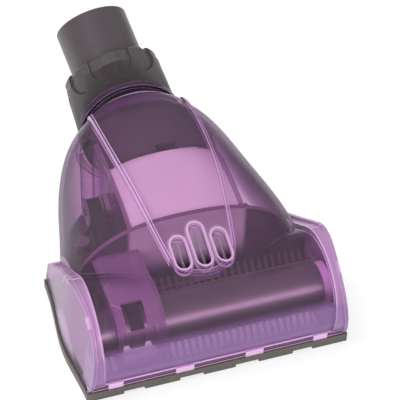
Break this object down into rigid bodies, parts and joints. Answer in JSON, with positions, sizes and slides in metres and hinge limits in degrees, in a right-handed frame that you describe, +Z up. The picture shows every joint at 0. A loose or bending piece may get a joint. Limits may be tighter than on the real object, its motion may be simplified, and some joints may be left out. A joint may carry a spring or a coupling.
{
  "type": "vacuum turbo brush",
  "caption": "Compact vacuum turbo brush: see-through hood, air turbine, belt, brush roll and swivelling elbow with a round tube.",
  "frame": {"origin": "on the sole's rest face, under the middle of the front lip", "axes": "+X to the right, +Y to the back where the tube is, +Z up from the floor"},
  "size_m": [0.138, 0.206, 0.0895],
  "materials": {
    "clear_purple": "glossy, see-through",
    "smoke_purple": "satin",
    "pale_plastic": "satin",
    "dark_plastic": "fine grain",
    "grey_plastic": "satin, fine grain",
    "turbine_plastic": "satin",
    "drum_plastic": "satin",
    "steel": "turned",
    "bronze": "sintered",
    "black_rubber": "matt",
    "bristle": "nylon bristle",
    "felt": "short pile"
  },
  "bodies": {
    "root": {"upper_hood": "clear_purple", "sole_plate": "dark_plastic", "chamber_partition": "smoke_purple", "belt_cover": "clear_purple", "drive_belt": "black_rubber", "turbine_duct": "clear_purple", "turbine_lid": "pale_plastic", "air_guide": "dark_plastic", "turbine_bearing_left": "bronze", "turbine_bearing_right": "bronze", "bearing_cap_left": "smoke_purple", "bearing_cap_right": "smoke_purple", "brush_bush_left": "bronze", "brush_bush_right": "bronze", "rear_screws": "steel", "lint_strip": "felt"},
    "brush": {"brush_drum": "drum_plastic", "brush_shaft": "steel", "bristle_strip_short_a": "bristle", "bristle_strip_long_a": "bristle", "bristle_strip_short_b": "bristle", "bristle_strip_long_b": "bristle"},
    "turbine": {"turbine_wheel": "turbine_plastic", "turbine_shaft": "steel", "turbine_pulley": "steel"},
    "elbow": {"swivel_elbow": "grey_plastic", "neck_ring": "grey_plastic", "neck_seal": "black_rubber"},
    "tube": {"connector_tube": "grey_plastic"},
    "lock_left": {"coin_lock_left": "grey_plastic"},
    "lock_right": {"coin_lock_right": "grey_plastic"}
  },
  "joints": [
    {"name": "brush_spin", "type": "hinge", "parent": "root", "child": "brush", "pos_m": [0, 0.019, 0.02], "axis": [1, 0, 0], "continuous": true},
    {"name": "turbine_spin", "type": "hinge", "parent": "root", "child": "turbine", "pos_m": [0, 0.087, 0.034], "axis": [1, 0, 0], "continuous": true},
    {"name": "neck_swivel", "type": "hinge", "parent": "root", "child": "elbow", "pos_m": [0, 0.146, 0.035], "axis": [0, 1, 0], "continuous": true},
    {"name": "tube_swivel", "type": "hinge", "parent": "elbow", "child": "tube", "pos_m": [-0.00494, 0.16032, 0.05639], "axis": [-0.1125, 0.866, 0.4872], "continuous": true},
    {"name": "lock_left_turn", "type": "hinge", "parent": "root", "child": "lock_left", "pos_m": [-0.042, 0.092, 0], "axis": [0, 0, 1], "range_deg": [0, 90]},
    {"name": "lock_right_turn", "type": "hinge", "parent": "root", "child": "lock_right", "pos_m": [0.042, 0.092, 0], "axis": [0, 0, 1], "range_deg": [-90, 0]}
  ],
  "couplings": [
    {"joint": "turbine_spin", "follows": "brush_spin", "ratio": 1.8036}
  ]
}
